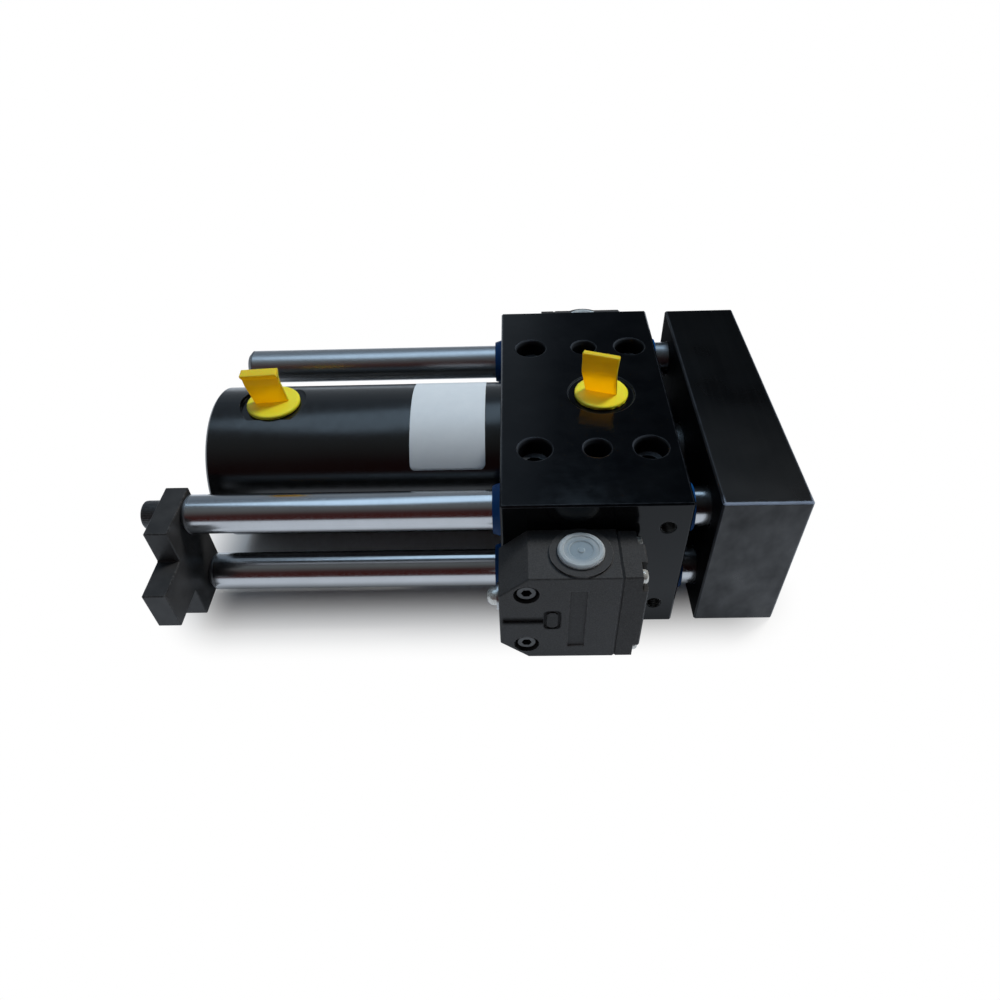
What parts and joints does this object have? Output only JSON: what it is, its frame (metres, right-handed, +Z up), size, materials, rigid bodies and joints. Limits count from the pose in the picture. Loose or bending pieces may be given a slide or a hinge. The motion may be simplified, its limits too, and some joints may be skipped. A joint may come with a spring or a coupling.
{
  "type": "guided hydraulic block cylinder",
  "caption": "Hydraulic block cylinder with a guide housing: a front plate on guide rods driven by a piston rod, with position switches and a trip bracket.",
  "frame": {"origin": "centre of the guide block's base face", "axes": "+X is the way the front plate moves out, +Z is up from the base face, and +Y is away from the side that carries the trip bracket"},
  "size_m": [0.2911, 0.2088, 0.101],
  "materials": {
    "black_steel": "blackened steel, satin to glossy",
    "barrel_steel": "blackened turned steel, satin",
    "chrome": "hard chrome, ground and polished",
    "screw_steel": "blackened screw steel",
    "zinc_steel": "zinc plated",
    "piston_steel": "turned steel",
    "bronze": "sintered bronze",
    "seal_rubber": "matt",
    "wiper_blue": "satin polyurethane",
    "plug_yellow": "soft moulded",
    "switch_cast": "cast and coated, fine grained",
    "cap_grey": "translucent moulded",
    "contact_plastic": "moulded"
  },
  "bodies": {
    "housing": {"barrel_seal": "seal_rubber", "cap_seal": "seal_rubber", "cylinder_barrel": "barrel_steel", "cylinder_cap": "barrel_steel", "far_switch_contact_block": "contact_plastic", "far_switch_cover": "switch_cast", "far_switch_cover_screws": "zinc_steel", "far_switch_entry_plug": "cap_grey", "far_switch_gasket": "seal_rubber", "far_switch_housing": "switch_cast", "far_switch_mounting_screws": "zinc_steel", "far_switch_plunger_bush": "bronze", "gland_seal": "seal_rubber", "guide_block": "black_steel", "guide_bush_front_far_lower": "bronze", "guide_bush_front_far_upper": "bronze", "guide_bush_front_near_lower": "bronze", "guide_bush_front_near_upper": "bronze", "guide_bush_rear_far_lower": "bronze", "guide_bush_rear_far_upper": "bronze", "guide_bush_rear_near_lower": "bronze", "guide_bush_rear_near_upper": "bronze", "guide_wiper_front_far_lower": "wiper_blue", "guide_wiper_front_far_upper": "wiper_blue", "guide_wiper_front_near_lower": "wiper_blue", "guide_wiper_front_near_upper": "wiper_blue", "guide_wiper_rear_far_lower": "wiper_blue", "guide_wiper_rear_far_upper": "wiper_blue", "guide_wiper_rear_near_lower": "wiper_blue", "guide_wiper_rear_near_upper": "wiper_blue", "near_switch_contact_block": "contact_plastic", "near_switch_cover": "switch_cast", "near_switch_cover_screws": "zinc_steel", "near_switch_entry_plug": "cap_grey", "near_switch_gasket": "seal_rubber", "near_switch_housing": "switch_cast", "near_switch_mounting_screws": "zinc_steel", "near_switch_plunger_bush": "bronze", "rod_gland": "bronze", "rod_seal": "seal_rubber", "rod_wiper": "seal_rubber"},
    "slide": {"front_plate": "black_steel", "piston_rod": "chrome", "piston": "piston_steel", "piston_seal": "seal_rubber", "piston_guide_ring": "seal_rubber", "piston_nut": "piston_steel", "guide_rod_screws": "screw_steel", "piston_rod_screw": "screw_steel", "trip_bracket": "black_steel", "bracket_screws": "screw_steel", "guide_rod_near_upper": "chrome", "guide_rod_near_lower": "chrome", "guide_rod_far_upper": "chrome", "guide_rod_far_lower": "chrome"},
    "near_plunger": {"near_switch_plunger": "piston_steel"},
    "far_plunger": {"far_switch_plunger": "piston_steel"},
    "front_plug": {"port_plug_front": "plug_yellow"},
    "rear_plug": {"port_plug_rear": "plug_yellow"}
  },
  "joints": [
    {"name": "stroke", "type": "slide", "parent": "housing", "child": "slide", "axis": [1, 0, 0], "range_m": [-0.0039, 0.1361]},
    {"name": "near_plunger_press", "type": "slide", "parent": "housing", "child": "near_plunger", "axis": [1, 0, 0], "range_m": [0, 0.004], "stiffness_N_per_m": 1500, "springref_m": -0.003},
    {"name": "far_plunger_press", "type": "slide", "parent": "housing", "child": "far_plunger", "axis": [-1, 0, 0], "range_m": [0, 0.004], "stiffness_N_per_m": 1500, "springref_m": -0.003},
    {"name": "front_plug_pull", "type": "slide", "parent": "housing", "child": "front_plug", "axis": [0, 0, 1], "range_m": [0, 0.02]},
    {"name": "rear_plug_pull", "type": "slide", "parent": "housing", "child": "rear_plug", "axis": [0, 0, 1], "range_m": [0, 0.02]}
  ]
}
